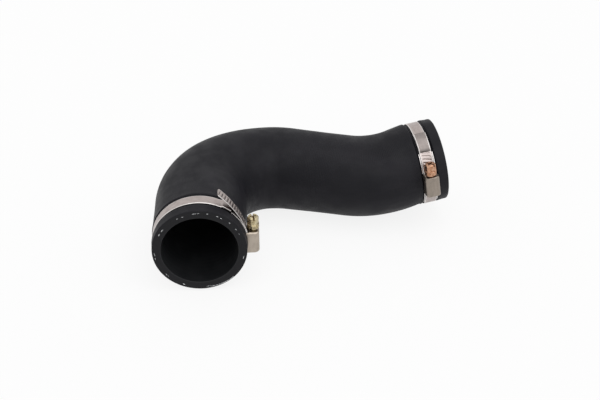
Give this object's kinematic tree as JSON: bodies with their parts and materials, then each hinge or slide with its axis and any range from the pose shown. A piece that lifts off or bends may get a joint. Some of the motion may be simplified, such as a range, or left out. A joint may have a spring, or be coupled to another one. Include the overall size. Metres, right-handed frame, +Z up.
{
  "type": "turbo hose",
  "caption": "Moulded black rubber turbo air hose with an S-shaped run, open at both ends, with a worm-drive clamp seated near each end.",
  "frame": {"origin": "bottom centre of the bounding box, on the surface the hose lies on", "axes": "+X along the second leg towards the raised rear mouth, +Y away from the front mouth along the first leg, +Z up"},
  "size_m": [0.2192, 0.1464, 0.0757],
  "materials": {
    "black_rubber": "satin with a fine cloth imprint",
    "clamp_steel": "satin zinc",
    "yellow_zinc": "yellow zinc plated",
    "copper_zinc": "copper-coloured zinc plated"
  },
  "bodies": {
    "clamped_hose": {"hose_body": "black_rubber", "front_clamp_band": "clamp_steel", "front_clamp_saddle": "clamp_steel", "front_clamp_housing": "clamp_steel", "rear_clamp_band": "clamp_steel", "rear_clamp_saddle": "clamp_steel", "rear_clamp_housing": "clamp_steel"},
    "front_screw": {"front_clamp_screw": "yellow_zinc"},
    "rear_screw": {"rear_clamp_screw": "copper_zinc"}
  },
  "joints": [
    {"name": "front_screw_turn", "type": "hinge", "parent": "clamped_hose", "child": "front_screw", "pos_m": [-0.03596, -0.05423, 0.03369], "axis": [0, 0, 1], "continuous": true},
    {"name": "rear_screw_turn", "type": "hinge", "parent": "clamped_hose", "child": "rear_screw", "pos_m": [0.09446, -0.00047, 0.04428], "axis": [-0.1645, 0.0247, 0.9861], "continuous": true}
  ]
}
